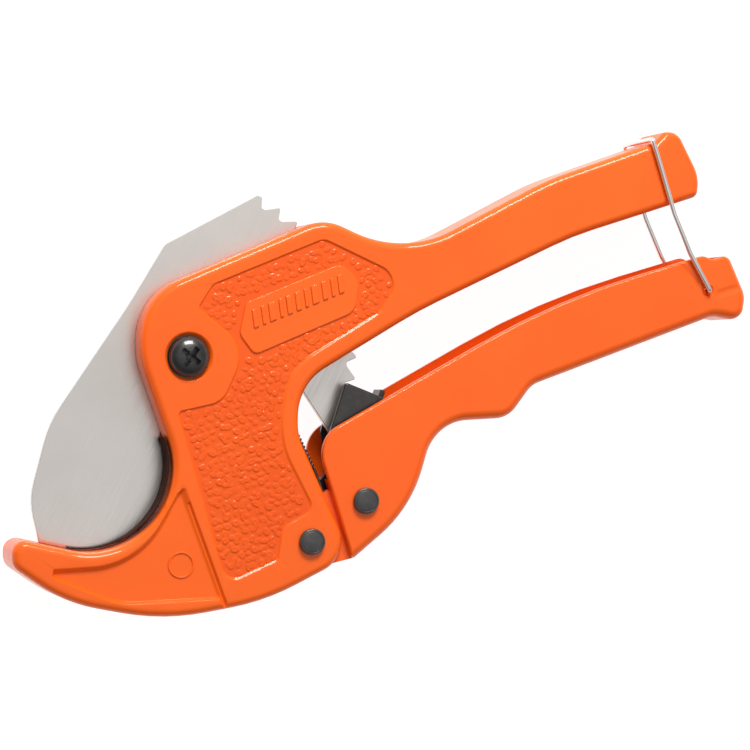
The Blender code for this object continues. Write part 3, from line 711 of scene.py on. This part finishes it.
def make_frame():
    """Die-cast head and upper handle, with rounded edges, sunk fields and a drafted pocket."""
    sector = circle(BLADE_PIVOT, TIP_RADIUS + 1.6, 144)
    hook_slot = outline([(-43.0, -42.3, 0), (-36.6, -51.0, 1.5), mouth_offset(EDGE_OVERLAP + 1.2),
                         (0.0, -5.0, 0), (-20.0, 10.0, 0)])
    pocket = outline([(20.0, -8.0, 3), (20.0, -50.0, 6), (26.8, -54.6, 2), (26.8, -64.0, 0),
                      (62.0, -64.0, 0), (62.0, -30.0, 0), (34.0, -8.0, 0)])
    channel = outline([(61.5, 10.0, 0), (62.0, -5.0, 0), (150.0, 30.0, 0), (134.0, 36.0, 0),
                       (134.2, 46.6, 3), (129.5, 54.6, 3), (96.5, 42.9, 60), (64.5, 26.4, 4)])
    bore = HEAD_RECESS_RADIUS - 0.65
    counterbore = turned(BLADE_PIVOT, [
        (0, HEAD_RECESS_FLOOR), (bore, HEAD_RECESS_FLOOR),
        (bore, BODY_HALF - 0.8), (HEAD_RECESS_RADIUS - 0.3, BODY_HALF - 0.4),
        (HEAD_RECESS_RADIUS - 0.05, BODY_HALF - 0.14), (HEAD_RECESS_RADIUS + 0.3, BODY_HALF),
        (HEAD_RECESS_RADIUS + 0.7, BODY_HALF + 1.0), (0, BODY_HALF + 1.0)])
    plaque = rounded_top(PLAQUE_OUTLINE, BODY_HALF - 1.0, BODY_HALF, 0.35)
    casting = carved(
        rounded_slab(FRAME_OUTLINE, BODY_HALF, FRAME_RIM, arc_distances(FRAME_RIM, 7)),
        ('DIFFERENCE', slab(sector, -SLOT_HALF, SLOT_HALF)),
        ('DIFFERENCE', slab(hook_slot, -SLOT_HALF - 0.01, SLOT_HALF + 0.01)),
        ('DIFFERENCE', slab(pocket, -POCKET_HALF, POCKET_HALF)),
        ('DIFFERENCE', slab(channel, -POCKET_HALF, POCKET_HALF)),
        ('DIFFERENCE', slab(circle(BLADE_PIVOT, PIVOT_BORE), -10, 8)),
        ('DIFFERENCE', counterbore),
        ('DIFFERENCE', slab(circle(BLADE_PIVOT, SPRING_POCKET_RADIUS), 0, SPRING_POCKET_TOP)),
        ('DIFFERENCE', slab(circle(HANDLE_PIVOT, RIVET_BORE, 48), -10, 10)),
        ('DIFFERENCE', dished(PANEL_OUTLINE, PANEL_FLOOR, BODY_HALF, PANEL_WALLS)),
        ('UNION', plaque),
        ('DIFFERENCE', dished(HOOK_POCKET, HOOK_FLOOR, BODY_HALF, HOOK_WALLS)),
        ('DIFFERENCE', dished(strip(GROOVE_START, GROOVE_END, GROOVE_HALF), BODY_HALF - GROOVE_DEPTH,
                              BODY_HALF, GROOVE_DEPTH)),
    )
    piece("frame_casting", casting, "frame", FRAME_ENAMEL, "frame_enamel", "frame")


def rounded_top(corners, low, high, radius, steps=4, step=ARC_STEP):
    """A plate whose upper edge is rounded."""
    layers = [(outline(corners, 0.0, step), low)]
    for k in range(steps + 1):
        angle = pi / 2 * k / steps
        layers.append((outline(corners, radius * (1 - cos(angle)), step), high - radius * (1 - sin(angle))))
    return stacked(layers)


def inside(points, polygon):
    """Which points lie in a polygon."""
    x = points[:, 0]
    y = points[:, 1]
    result = np.zeros(len(points), bool)
    for (x0, y0), (x1, y1) in zip(polygon, polygon[1:] + polygon[:1]):
        if y0 != y1:
            crosses = (y0 > y) != (y1 > y)
            result ^= crosses & (x < (x1 - x0) * (y - y0) / (y1 - y0) + x0)
    return result


def edge_distance(points, polygon):
    """Distance from each point to a polygon's nearest edge."""
    nearest = np.full(len(points), 1e9)
    for start, end in zip(polygon, polygon[1:] + polygon[:1]):
        a = np.array(start)
        way = np.array(end) - a
        share = np.clip(((points - a) @ way) / (way @ way), 0.0, 1.0)
        nearest = np.minimum(nearest, np.linalg.norm(points - a - share[:, None] * way, axis=1))
    return nearest


PEBBLE_PITCH = 2.0
PEBBLE_LEAN = radians(20)       # turn of the rows
PEBBLE_MIDDLE = (20.0, -12.0)
PEBBLE_ROWS = 34                # either side of the middle
PEBBLE_GRID = 0.22              # spacing of the points that carry the domes
PANEL_MARGIN = 0.75             # least distance from a dome's middle to the panel's edge
PLAQUE_MARGIN = 0.8


def make_pebbles():
    """Small irregular domes all over the sunk panel, apart from the plaque."""
    floor = outline(PANEL_OUTLINE, 0.4)
    plaque = outline(PLAQUE_OUTLINE, -0.25)
    chance = random.Random(11)
    low = np.min(floor, axis=0)
    high = np.max(floor, axis=0)
    grid = []
    row = 0
    y = low[1]
    while y < high[1]:
        x = low[0] + (row % 2) * PEBBLE_GRID / 2
        while x < high[0]:
            grid.append((x, y))
            x += PEBBLE_GRID
        y += PEBBLE_GRID * 0.866
        row += 1
    grid = np.array(grid)
    grid = grid[inside(grid, floor)]
    grid = grid[edge_distance(grid, floor) > PEBBLE_GRID * 0.5]
    height = np.zeros(len(grid))
    lean = PEBBLE_LEAN
    for i in range(-PEBBLE_ROWS, PEBBLE_ROWS):
        for j in range(-PEBBLE_ROWS, PEBBLE_ROWS):
            u = (i + (j % 2) * 0.5) * PEBBLE_PITCH + chance.uniform(-0.60, 0.60)
            v = j * PEBBLE_PITCH * 0.88 + chance.uniform(-0.55, 0.55)
            radius = chance.uniform(0.55, 0.98)
            rise = chance.uniform(0.16, 0.34)
            stretch = chance.uniform(0.68, 1.40)
            turn = chance.uniform(0.0, pi)
            centre = np.array((PEBBLE_MIDDLE[0] + u * cos(lean) - v * sin(lean),
                               PEBBLE_MIDDLE[1] + u * sin(lean) + v * cos(lean)))
            spot = centre[None, :]
            if not inside(spot, floor)[0] or edge_distance(spot, floor)[0] < PANEL_MARGIN:
                continue
            if inside(spot, plaque)[0] or edge_distance(spot, plaque)[0] < PLAQUE_MARGIN:
                continue
            offset = grid - centre
            along = (offset[:, 0] * cos(turn) + offset[:, 1] * sin(turn)) / stretch
            across = (offset[:, 1] * cos(turn) - offset[:, 0] * sin(turn)) * stretch
            reach = np.clip(1.0 - (along ** 2 + across ** 2) / radius ** 2, 0.0, 1.0)
            height = np.maximum(height, rise * reach ** 0.4 * (1.0 - 0.55 * reach ** 2))
    border = len(floor)
    points = [Vector(p) for p in floor] + [Vector(p) for p in grid]
    edges = [(i, (i + 1) % border) for i in range(border)]
    corners, _, triangles, origin, _, _ = delaunay_2d_cdt(points, edges, [], 1, 1e-5)
    heights = np.concatenate((np.zeros(border), height))
    base = PANEL_FLOOR + 0.03
    top = [(corner.x, corner.y, base + float(heights[origin[k][0]])) for k, corner in enumerate(corners)]
    under = [(x, y, base - 0.3) for x, y, _ in top]
    count = len(top)
    faces = [list(face) for face in triangles]
    sides = dict.fromkeys((a, b) for face in faces for a, b in zip(face, face[1:] + face[:1]))
    rim = [(a, b) for a, b in sides if (b, a) not in sides]
    closed = faces + [[count + i for i in reversed(face)] for face in faces]
    closed += [[b, a, count + a, count + b] for a, b in rim]
    mesh = bpy.data.meshes.new("pebbles")
    mesh.from_pydata(top + under, [], closed)
    piece("panel_pebbles", mesh, "frame", PANEL_ENAMEL_SHADED, "frame_enamel", crease=60)


def make_mouth_painted_shade():
    """Painted shade: thin dark strips on the mouth's round wall, either side of the blade, narrower towards
    the hook's tip, standing in for the shade inside the mouth.
    """
    steps = 60
    turn_low = -100.0
    turn_high = 18.5
    proud = 0.05
    buried = 0.25
    narrowest = 0.12
    full_width_at = 0.55
    low = SLOT_HALF + 0.1
    high = BODY_HALF - FRAME_RIM + 0.3
    shape = bmesh.new()
    for side in (1, -1):
        rings = []
        for k in range(steps + 1):
            share = k / steps
            angle = radians(turn_low + (turn_high - turn_low) * share)
            width = narrowest + (1.0 - narrowest) * min(1.0, share / full_width_at) ** 1.5
            top = low + (high - low) * width
            ring = []
            for reach, depth in ((-proud, low), (buried, low), (buried, top), (-proud, top)):
                radius = MOUTH_RADIUS + reach
                ring.append(shape.verts.new((MOUTH_CENTRE[0] + radius * cos(angle),
                                             MOUTH_CENTRE[1] + radius * sin(angle), side * depth)))
            rings.append(ring)
        for first, second in zip(rings, rings[1:]):
            for k in range(4):
                shape.faces.new((first[k - 1], first[k], second[k], second[k - 1]))
        shape.faces.new(rings[0])
        shape.faces.new(rings[-1])
    bmesh.ops.recalc_face_normals(shape, faces=shape.faces)
    mesh = bpy.data.meshes.new("mouth_painted_shade")
    shape.to_mesh(mesh)
    shape.free()
    # Painted shade: the strips take the dark material in place of the wall's own enamel.
    piece("mouth_painted_shade", mesh, "frame", MOUTH_SHADE_PAINT, "frame_enamel")


def make_plaque_ribs():
    """Plain slanted ribs along the plaque, of uneven widths."""
    along = Vector((26.0, 10.3)).normalized()
    up = Vector((-along.y, along.x))
    start = Vector((16.6, 7.0))
    slant = 1.1
    tall = 4.6
    gap = 1.0
    widths = [1.5, 1.0, 1.9, 1.0, 1.5, 1.5, 1.0, 1.9, 1.5, 1.0, 1.5]
    spot = 0.0
    ribs = []
    for width in widths:
        foot = start + along * spot
        corners = []
        for right, rise in ((0.0, 0.0), (width, 0.0), (width + slant, tall), (slant, tall)):
            corner = foot + along * right + up * rise
            corners.append((corner.x, corner.y, 0.25))
        ribs.append(rounded_top(corners, BODY_HALF - 0.3, BODY_HALF + 0.42, 0.3, 4, 15.0))
        spot += width + gap
    piece("plaque_ribs", merged(ribs), "frame", FRAME_ENAMEL, "frame_enamel")


def make_hook_ring():
    """A plain raised ring in the hook's sunk field."""
    centre = Vector((-1.8, -51.8))
    steps = 72
    sides = 10
    ring_radius = 3.1
    wire_radius = 0.3
    vertices = []
    faces = []
    for k in range(steps):
        turn = 2 * pi * k / steps
        for s in range(sides):
            around = 2 * pi * s / sides
            reach = ring_radius + wire_radius * cos(around)
            vertices.append((centre.x + reach * cos(turn), centre.y + reach * sin(turn),
                             HOOK_FLOOR + 0.02 + wire_radius * sin(around)))
            k2 = (k + 1) % steps
            s2 = (s + 1) % sides
            faces.append([k * sides + s, k2 * sides + s, k2 * sides + s2, k * sides + s2])
    mesh = bpy.data.meshes.new("ring")
    mesh.from_pydata(vertices, [], faces)
    piece("hook_ring", mesh, "frame", FRAME_ENAMEL, "frame_enamel")


# ---- Blade and its pivot -------------------------------------------------------------------------

def tooth_corners():
    """Ratchet teeth up the round sector: a long flank above each tip, a steep face below it."""
    corners = []
    for k in range(TOOTH_COUNT):
        tip = FIRST_TOOTH + TOOTH_PITCH * k
        stations = [(tip, TIP_RADIUS, 0.25), (tip + 0.7, TIP_RADIUS, 0.25), (tip + 4.3, ROOT_RADIUS, 0.7),
                    (tip + 5.6, ROOT_RADIUS, 0.4)]
        if k == TOOTH_COUNT - 1:
            stations = [(tip, TIP_RADIUS, 0.25), (tip + 1.6, TIP_RADIUS, 0.3)]
        for angle, radius, rounding in stations:
            corners.append((radius * cos(radians(angle)), radius * sin(radians(angle)), rounding))
    return corners


def make_blade():
    """Curved blade, ground to an edge along the mouth, with a toothed sector behind the pivot."""
    teeth = tooth_corners()
    corners = teeth + BLADE_SPINE + [mouth_offset(EDGE_OVERLAP)] + BLADE_HEEL
    chamfer = 0.12
    grind = 4.3
    toe = len(teeth) + len(BLADE_SPINE) - 1
    layers = []
    for depth, edge, ground in ((-BLADE_HALF, chamfer, grind), (-BLADE_HALF + chamfer, 0.0, grind - 0.7),
                                (-0.12, 0.0, 0.0), (0.12, 0.0, 0.0),
                                (BLADE_HALF - chamfer, 0.0, grind - 0.7), (BLADE_HALF, chamfer, grind)):
        insets = [edge] * len(corners)
        insets[toe] = ground
        insets[toe + 1] = ground
        layers.append((outline(corners, insets, 6.0), depth))
    blade = carved(stacked(layers), ('DIFFERENCE', slab(circle(BLADE_PIVOT, PIVOT_BORE), -5, 5)))
    piece("blade_plate", blade, "blade", BLADE_STEEL, "blade_steel", "blade", crease=20)


def make_screw():
    """Black pan-head screw with a cross recess."""
    base = HEAD_RECESS_FLOOR + 2 * GAP + WASHER_THICKNESS
    rim = 0.9
    dome = 2.55
    long = 2.8
    wide = 0.72
    top = base + 4.0
    profile = [(0, -3.0), (SCREW_SHANK, -3.0), (SCREW_SHANK, base), (SCREW_HEAD - 0.25, base),
               (SCREW_HEAD - 0.08, base + 0.1), (SCREW_HEAD, base + 0.3), (SCREW_HEAD, base + rim)]
    for k in range(1, 15):
        angle = pi / 2 * k / 14
        profile.append((SCREW_HEAD * cos(angle) if k < 14 else 0, base + rim + dome * sin(angle)))
    steps = []
    for turn in (52, 142):
        a = radians(turn)
        wing = [(x * cos(a) - y * sin(a), x * sin(a) + y * cos(a), 0.25)
                for x, y in ((-long, -wide), (long, -wide), (long, wide), (-long, wide))]
        floor = base + 0.005 * turn / 142       # the two floors differ, so that they aren't in one plane
        layers = [(outline(wing, 0.12, 15.0), floor), (outline(wing, -0.05, 15.0), top)]
        steps.append(('DIFFERENCE', stacked(layers)))
    middle = turned(BLADE_PIVOT, [(0, base - 0.5), (0.9, base), (1.35, top), (0, top)], 32)
    steps.append(('DIFFERENCE', middle))
    screw = carved(turned(BLADE_PIVOT, profile), *steps)
    piece("pivot_screw_head", screw, "frame", BLACK_OXIDE, "black_oxide", "pivot_screw", crease=28)


def make_rivet(name, node, centre, half, body):
    """Solid rivet with a low head at the front and an equal closing head at the rear."""
    under = half + GAP
    crown = under + RIVET_HEAD_HEIGHT
    front = [(RIVET_SHANK, under), (RIVET_HEAD - 0.15, under), (RIVET_HEAD, under + 0.12),
             (RIVET_HEAD, crown - 0.5)]
    for k in range(1, 6):
        angle = pi / 2 * k / 5
        front.append((RIVET_HEAD - 0.5 * (1 - cos(angle)), crown - 0.5 + 0.42 * sin(angle)))
    front += [(RIVET_HEAD - 0.6, crown - 0.16), (RIVET_HEAD - 0.75, crown - 0.1),
              (RIVET_HEAD - 1.0, crown - 0.01), (0, crown)]
    rear = [(radius, -depth) for radius, depth in reversed(front)]
    piece(name, turned(centre, rear + front, 64), body, RIVET_STEEL, "black_oxide", node)


# ---- Lower handle --------------------------------------------------------------------------------

def make_lower_handle():
    """Pressed channel with soft bends along the palm and thin edges along its open side."""
    corners = [HANDLE_GROOVE[1]] + HANDLE_PALM + HANDLE_RIM + [HANDLE_GROOVE[0]]
    soft = 2.6
    thin = 0.7
    palm_edges = len(HANDLE_PALM)
    radii = [soft] * palm_edges + [thin] * (len(corners) - palm_edges)
    distances = [0.0, 0.015, 0.05, 0.12, 0.25, 0.4, 0.7, 1.1, 1.7, soft]
    tongue = outline(lug_corners(HANDLE_PIVOT, 7.0, [(43.0, -51.0, 0), (50.0, -40.0, 0), (36.4, -33.6, 0)]))
    palm = moved_inward(corners, HANDLE_WALL)[:palm_edges]
    channel = outline(palm + [(143.6, 24.5, 0), (143.6, 45.0, 0), (25.0, 5.0, 0), (25.0, -31.0, 0),
                              (38.4, -31.0, 0)])
    half = HANDLE_HALF - HANDLE_WALL
    between = outline([(20.0, -60.0, 0), (38.2, -60.0, 0), (45.6, -47.5, 0), (50.0, -40.0, 0),
                       (44.0, -28.0, 0), (20.0, -28.0, 0)])
    inner = CHEEK_HALF - CHEEK_WALL
    steps = [
        ('UNION', slab(tongue, -CHEEK_HALF, CHEEK_HALF)),
        ('DIFFERENCE', slab(channel, -half, half)),
        ('DIFFERENCE', slab(between, -inner, inner)),
        ('DIFFERENCE', slab(circle(HANDLE_PIVOT, RIVET_BORE, 48), -12, 12)),
        ('DIFFERENCE', slab(circle(FEED_PIVOT, RIVET_BORE, 48), -12, 12)),
        ('DIFFERENCE', slab(circle(BAIL_PIVOT, 1.0, 32), -12, 12)),
    ]
    face = HANDLE_HALF
    countersink = [(0, face - 0.9), (1.0, face - 0.9), (1.25, face - 0.35), (1.75, face + 0.02),
                   (2.0, face + 0.3), (0, face + 0.3)]
    steps.append(('DIFFERENCE', turned(BAIL_PIVOT, countersink, 32)))
    for start, end in (((131.2, 24.4), (137.6, 18.6)), ((141.8, 16.6), (152.5, 19.6))):
        steps.append(('DIFFERENCE', dished(strip(start, end, 1.5), face - 0.32, face, 1.45)))
    handle = carved(rounded_slab(corners, HANDLE_HALF, radii, distances), *steps)
    piece("handle_channel", handle, "lower_handle", HANDLE_ENAMEL, "handle_enamel", "lower_handle")


# ---- Springs -------------------------------------------------------------------------------------

def flat_coil(centre, radius, low, high, start, turns, leg_in, leg_out):
    """Torsion spring: a helix around Z with a straight leg at each end."""
    steps = ceil(turns * 32)
    path = [(leg_in[0], leg_in[1], low)]
    for k in range(steps + 1):
        angle = radians(start) + 2 * pi * turns * k / steps
        depth = low + (high - low) * k / steps
        path.append((centre[0] + radius * cos(angle), centre[1] + radius * sin(angle), depth))
    return path + [(leg_out[0], leg_out[1], high)]


POST = (25.3, -14.1)
HOLD_PIN = (35.3, -34.7)
SPRING_DEPTH = 3.4
EXTENSION_LENGTH = 13.6
EXTENSION_TURNS = 13
EXTENSION_RADIUS = 1.35
POST_LOOP = 1.55
PIN_LOOP = 1.15


def make_springs():
    """The three torsion springs, and the extension spring of the holding pawl."""
    inner = CHEEK_HALF - CHEEK_WALL - GAP
    blade_coil = flat_coil(BLADE_PIVOT, 6.8, SLOT_HALF + 0.9, SPRING_POCKET_TOP - 0.9, 200, 1.8,
                           (-4.9, -5.3), (-5.4, 4.6))
    piece("blade_return_coil", tube(blade_coil, 0.5, 12), "frame", SPRING_STEEL, "spring_steel",
          "blade_spring")
    handle_coil = flat_coil(HANDLE_PIVOT, 5.2, 0.5 - inner, -2.0, -80, 1.75, (42.6, -46.8), (21.2, -40.5))
    piece("handle_opening_coil", tube(handle_coil, 0.4, 12), "frame", SPRING_STEEL, "spring_steel",
          "handle_spring")
    feed_coil = flat_coil(FEED_PIVOT, 3.5, -3.2, 3.2, 60, 5.6, (50.0, -18.5), (51.4, -40.6))
    piece("feed_pawl_coil", tube(feed_coil, 0.4, 12), "feed_pawl", SPRING_STEEL, "spring_steel",
          "feed_pawl_spring")
    way = Vector((HOLD_PIN[0] - POST[0], HOLD_PIN[1] - POST[1])).normalized()
    side = Vector((-way.y, way.x))
    start = Vector(POST) + 2.9 * way
    steps = EXTENSION_TURNS * 24
    path = []
    for k in range(12):
        angle = pi * 1.35 * k / 11 + pi * 0.6
        hook = Vector(POST) + POST_LOOP * (side * cos(angle) - way * sin(angle))
        path.append((hook.x, hook.y, SPRING_DEPTH))
    for k in range(steps + 1):
        angle = 2 * pi * EXTENSION_TURNS * k / steps
        point = start + way * EXTENSION_LENGTH * k / steps + side * EXTENSION_RADIUS * cos(angle)
        path.append((point.x, point.y, SPRING_DEPTH + EXTENSION_RADIUS * sin(angle)))
    for k in range(10):
        angle = pi * 1.3 * k / 9 - pi * 0.25
        hook = Vector(HOLD_PIN) - PIN_LOOP * (side * sin(angle - pi / 2) + way * cos(angle - pi / 2))
        path.append((hook.x, hook.y, SPRING_DEPTH))
    spring = piece("extension_coil", tube(path, 0.33, 10), None, SPRING_STEEL, "spring_steel",
                   "hold_pawl_spring")
    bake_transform(spring)


# ---- Pawls ---------------------------------------------------------------------------------------

FEED_HALF = 5.4
FEED_SHEET = 1.4
HOLD_HALF = 1.2


def make_pawls():
    """The holding pawl's plate, and the folded sheet of the feed pawl."""
    hold = carved(rounded_slab(lug_corners(HANDLE_PIVOT, 6.3, HOLD_PAWL_ARM), HOLD_HALF, 0.2,
                               arc_distances(0.2, 3)),
                  ('DIFFERENCE', slab(circle(HANDLE_PIVOT, 4.2, 48), -5, 5)))
    piece("hold_pawl_plate", hold, "hold_pawl", PAWL_STEEL, "pawl_steel", "hold_pawl")
    half = FEED_HALF - FEED_SHEET
    hollow = outline([(30.0, -3.0, 0), (30.0, -45.0, 0), (60.0, -45.0, 0), (60.0, -15.3, 0),
                      (46.2, -9.8, 0), (46.2, -3.0, 0)])
    tab = [(50.6, -10.4, 0), (51.9, -10.9, 0), (52.7, -8.7, 0.3), (51.4, -8.2, 0.3)]
    feed = carved(rounded_slab(lug_corners(FEED_PIVOT, 5.2, FEED_PAWL_WALL), FEED_HALF, 0.45,
                               arc_distances(0.45, 5)),
                  ('DIFFERENCE', slab(hollow, -half, half)),
                  ('UNION', slab(outline(tab), -3.0, 3.0)),
                  ('DIFFERENCE', slab(circle(FEED_PIVOT, RIVET_BORE, 48), -8, 8)))
    piece("feed_pawl_sheet", feed, "feed_pawl", PAWL_STEEL, "pawl_steel", "feed_pawl")


# ---- Latch wire ----------------------------------------------------------------------------------

def make_latch_wire():
    """Bent wire through the lower handle's end, with its bar behind the upper handle's lip."""
    leg = BODY_HALF + 0.4 + WIRE_RADIUS
    bar = (123.3, 56.8)
    bends = [(126.0, 48.4), (129.4, 37.4), (134.0, 27.0)]
    half = [(*BAIL_PIVOT, 5.4, 0.0), (*BAIL_PIVOT, leg, 0.75)]
    half += [(x, y, leg, 6.0) for x, y in reversed(bends)]
    half += [(*bar, leg, 0.9)]
    other = [(x, y, -depth, bend) for x, y, depth, bend in reversed(half)]
    piece("latch_wire", tube(rounded_path(half + other, 8), WIRE_RADIUS, 20), "bail", BRIGHT_WIRE,
          "bright_wire", "bail", crease=50)


make_camera()
make_studio()
make_frame()
make_pebbles()
make_mouth_painted_shade()
make_plaque_ribs()
make_hook_ring()
make_blade()
make_screw()
make_rivet("handle_rivet_head", "handle_pivot_rivet", HANDLE_PIVOT, BODY_HALF, "frame")
make_rivet("feed_rivet_head", "feed_pawl_rivet", FEED_PIVOT, HANDLE_HALF, "lower_handle")
make_lower_handle()
make_springs()
make_pawls()
make_latch_wire()

for node, material in (("pivot_washer", BLACK_OXIDE), ("pivot_barrel_nut", ZINC),
                       ("handle_pivot_bush", ZINC), ("hold_pawl_spacer", ZINC),
                       ("hold_spring_pin", PAWL_STEEL), ("spring_post", PAWL_STEEL),
                       ("feed_pawl_washer_front", ZINC), ("feed_pawl_washer_rear", ZINC)):
    frame["nodes"][node].data.materials.clear()
    frame["nodes"][node].data.materials.append(material)
